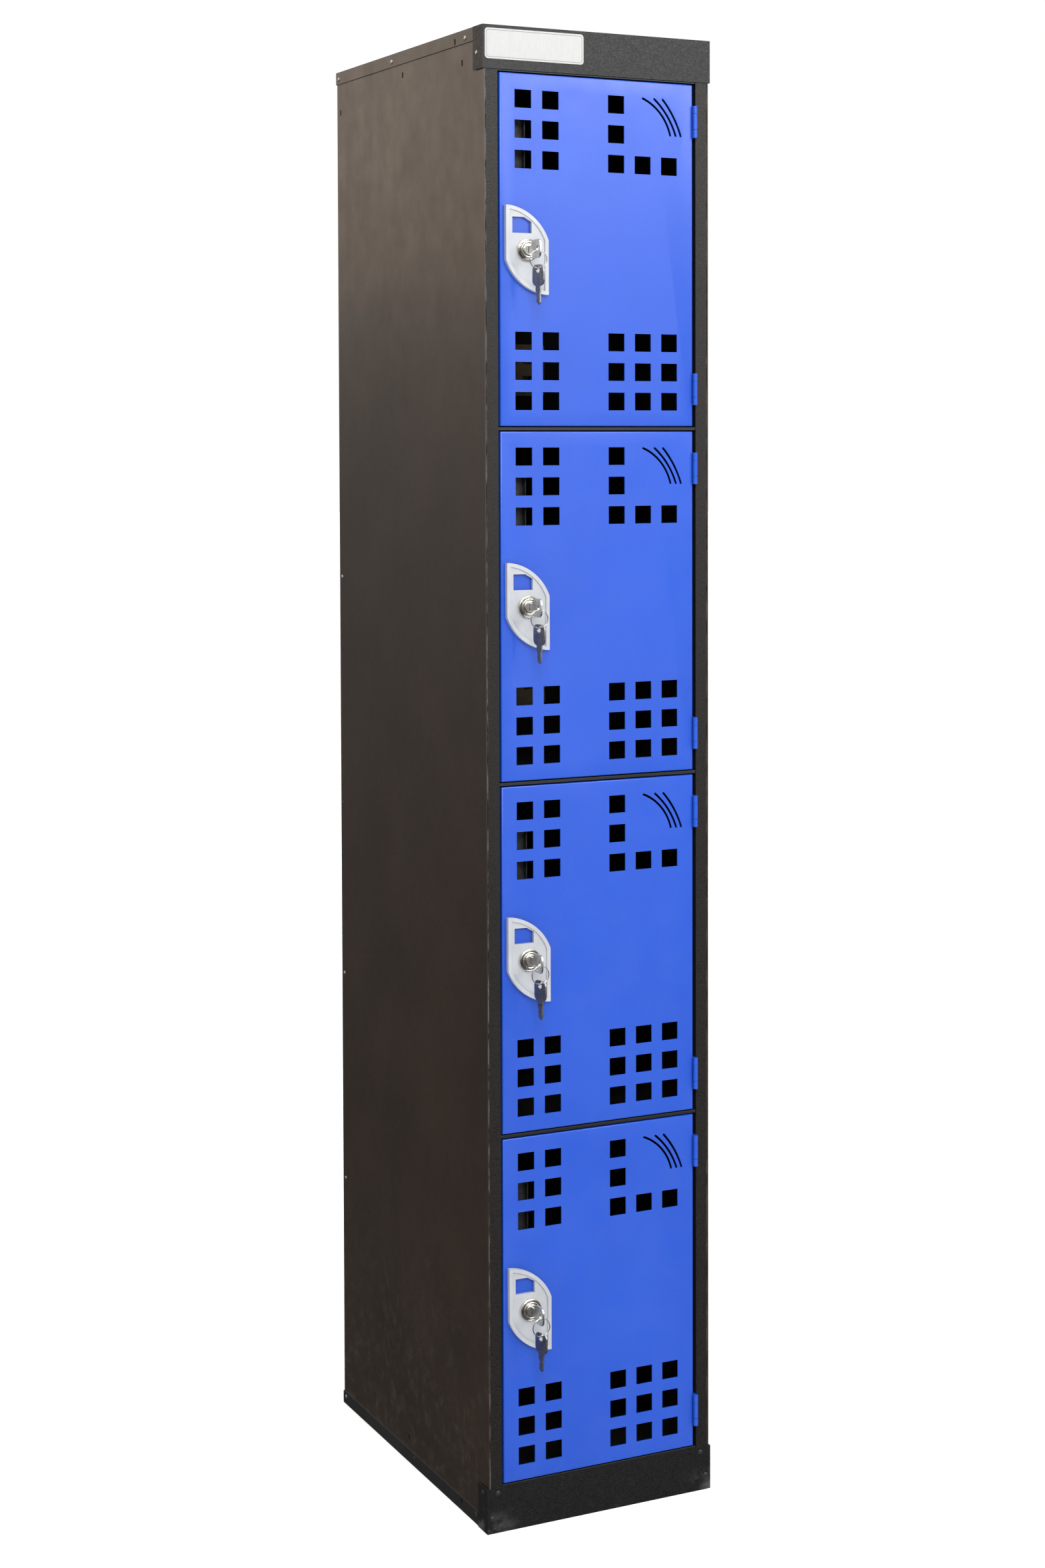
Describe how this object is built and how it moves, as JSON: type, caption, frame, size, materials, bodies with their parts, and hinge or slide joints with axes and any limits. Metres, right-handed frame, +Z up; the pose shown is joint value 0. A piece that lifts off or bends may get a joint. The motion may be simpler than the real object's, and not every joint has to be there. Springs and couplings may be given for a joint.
{
  "type": "phone charging locker",
  "caption": "Tall free-standing charging locker with perforated hinged doors, cam locks with keys, shelves and charging outlets behind.",
  "frame": {"origin": "on the floor, under the middle of the cabinet", "axes": "+X right seen from the front, +Y to the back, +Z up"},
  "size_m": [0.304, 0.5483, 1.8],
  "materials": {
    "side_steel": "smooth satin dark brown powder coat",
    "cap_steel": "smooth satin dark brown powder coat",
    "tray_steel": "smooth satin black-brown powder coat",
    "frame_steel": "fine textured charcoal powder coat",
    "header_steel": "fine textured charcoal powder coat",
    "plinth_steel": "fine textured black powder coat",
    "inner_steel": "matt black coat",
    "door_blue": "smooth satin blue powder coat",
    "zinc": "zinc plated",
    "lock_grey": "satin silver-grey plastic",
    "nickel": "nickel plated, polished",
    "rivet_bright": "bright steel",
    "rivet_dark": "painted with the cabinet",
    "cream_plastic": "cream moulded plastic",
    "supply_case": "grey coated case",
    "black_plastic": "black moulded plastic",
    "label_white": "white label, blank"
  },
  "bodies": {
    "cabinet": {"side_panel_left": "side_steel", "side_panel_right": "side_steel", "back_panel": "side_steel", "top_cap": "cap_steel", "base_tray": "tray_steel", "header_cover": "header_steel", "plinth_cover": "plinth_steel", "stile_left": "frame_steel", "stile_right": "frame_steel", "shelves": "inner_steel", "service_panel": "inner_steel", "hinge_frame_leaves": "door_blue", "hinge_pins": "door_blue", "bright_rivets": "rivet_bright", "painted_rivets": "rivet_dark", "charging_outlets": "cream_plastic", "power_supply": "supply_case", "power_inlet": "black_plastic", "supply_wiring": "black_plastic", "name_label": "label_white"},
    "door_1": {"door_panel_1": "door_blue", "door_stiffener_1": "zinc", "hinge_leaves_1": "door_blue", "lock_plate_1": "lock_grey", "lock_housing_1": "nickel"},
    "lock_1": {"lock_plug_1": "nickel", "lock_cam_1": "zinc"},
    "key_in_lock_1": {"key_1": "nickel"},
    "ring_1": {"key_ring_1": "nickel"},
    "spare_1": {"spare_key_1": "nickel"},
    "door_2": {"door_panel_2": "door_blue", "door_stiffener_2": "zinc", "hinge_leaves_2": "door_blue", "lock_plate_2": "lock_grey", "lock_housing_2": "nickel"},
    "lock_2": {"lock_plug_2": "nickel", "lock_cam_2": "zinc"},
    "key_in_lock_2": {"key_2": "nickel"},
    "ring_2": {"key_ring_2": "nickel"},
    "spare_2": {"spare_key_2": "nickel"},
    "door_3": {"door_panel_3": "door_blue", "door_stiffener_3": "zinc", "hinge_leaves_3": "door_blue", "lock_plate_3": "lock_grey", "lock_housing_3": "nickel"},
    "lock_3": {"lock_plug_3": "nickel", "lock_cam_3": "zinc"},
    "key_in_lock_3": {"key_3": "nickel"},
    "ring_3": {"key_ring_3": "nickel"},
    "spare_3": {"spare_key_3": "nickel"},
    "door_4": {"door_panel_4": "door_blue", "door_stiffener_4": "zinc", "hinge_leaves_4": "door_blue", "lock_plate_4": "lock_grey", "lock_housing_4": "nickel"},
    "lock_4": {"lock_plug_4": "nickel", "lock_cam_4": "zinc"},
    "key_in_lock_4": {"key_4": "nickel"},
    "ring_4": {"key_ring_4": "nickel"},
    "spare_4": {"spare_key_4": "nickel"}
  },
  "joints": [
    {"name": "door_hinge_1", "type": "hinge", "parent": "cabinet", "child": "door_1", "pos_m": [0.1295, -0.2528, 1.53675], "axis": [0, 0, 1], "range_deg": [0, 110]},
    {"name": "lock_turn_1", "type": "hinge", "parent": "door_1", "child": "lock_1", "pos_m": [-0.096, -0.2615, 1.53675], "axis": [0, 1, 0], "range_deg": [0, 90]},
    {"name": "key_slide_1", "type": "slide", "parent": "lock_1", "child": "key_in_lock_1", "axis": [0, -1, 0], "range_m": [0, 0.015]},
    {"name": "ring_swing_1", "type": "hinge", "parent": "key_in_lock_1", "child": "ring_1", "pos_m": [-0.096, -0.2873, 1.53445], "axis": [1, 0, 0], "range_deg": [-90, 20]},
    {"name": "spare_key_swing_1", "type": "hinge", "parent": "ring_1", "child": "spare_1", "pos_m": [-0.096, -0.2873, 1.51365], "axis": [1, 0, 0], "range_deg": [-80, 35]},
    {"name": "door_hinge_2", "type": "hinge", "parent": "cabinet", "child": "door_2", "pos_m": [0.1295, -0.2528, 1.11325], "axis": [0, 0, 1], "range_deg": [0, 110]},
    {"name": "lock_turn_2", "type": "hinge", "parent": "door_2", "child": "lock_2", "pos_m": [-0.096, -0.2615, 1.11325], "axis": [0, 1, 0], "range_deg": [0, 90]},
    {"name": "key_slide_2", "type": "slide", "parent": "lock_2", "child": "key_in_lock_2", "axis": [0, -1, 0], "range_m": [0, 0.015]},
    {"name": "ring_swing_2", "type": "hinge", "parent": "key_in_lock_2", "child": "ring_2", "pos_m": [-0.096, -0.2873, 1.11095], "axis": [1, 0, 0], "range_deg": [-90, 20]},
    {"name": "spare_key_swing_2", "type": "hinge", "parent": "ring_2", "child": "spare_2", "pos_m": [-0.096, -0.2873, 1.09015], "axis": [1, 0, 0], "range_deg": [-80, 35]},
    {"name": "door_hinge_3", "type": "hinge", "parent": "cabinet", "child": "door_3", "pos_m": [0.1295, -0.2528, 0.68975], "axis": [0, 0, 1], "range_deg": [0, 110]},
    {"name": "lock_turn_3", "type": "hinge", "parent": "door_3", "child": "lock_3", "pos_m": [-0.096, -0.2615, 0.68975], "axis": [0, 1, 0], "range_deg": [0, 90]},
    {"name": "key_slide_3", "type": "slide", "parent": "lock_3", "child": "key_in_lock_3", "axis": [0, -1, 0], "range_m": [0, 0.015]},
    {"name": "ring_swing_3", "type": "hinge", "parent": "key_in_lock_3", "child": "ring_3", "pos_m": [-0.096, -0.2873, 0.68745], "axis": [1, 0, 0], "range_deg": [-90, 20]},
    {"name": "spare_key_swing_3", "type": "hinge", "parent": "ring_3", "child": "spare_3", "pos_m": [-0.096, -0.2873, 0.66665], "axis": [1, 0, 0], "range_deg": [-80, 35]},
    {"name": "door_hinge_4", "type": "hinge", "parent": "cabinet", "child": "door_4", "pos_m": [0.1295, -0.2528, 0.26625], "axis": [0, 0, 1], "range_deg": [0, 110]},
    {"name": "lock_turn_4", "type": "hinge", "parent": "door_4", "child": "lock_4", "pos_m": [-0.096, -0.2615, 0.26625], "axis": [0, 1, 0], "range_deg": [0, 90]},
    {"name": "key_slide_4", "type": "slide", "parent": "lock_4", "child": "key_in_lock_4", "axis": [0, -1, 0], "range_m": [0, 0.015]},
    {"name": "ring_swing_4", "type": "hinge", "parent": "key_in_lock_4", "child": "ring_4", "pos_m": [-0.096, -0.2873, 0.26395], "axis": [1, 0, 0], "range_deg": [-90, 20]},
    {"name": "spare_key_swing_4", "type": "hinge", "parent": "ring_4", "child": "spare_4", "pos_m": [-0.096, -0.2873, 0.24315], "axis": [1, 0, 0], "range_deg": [-80, 35]}
  ]
}
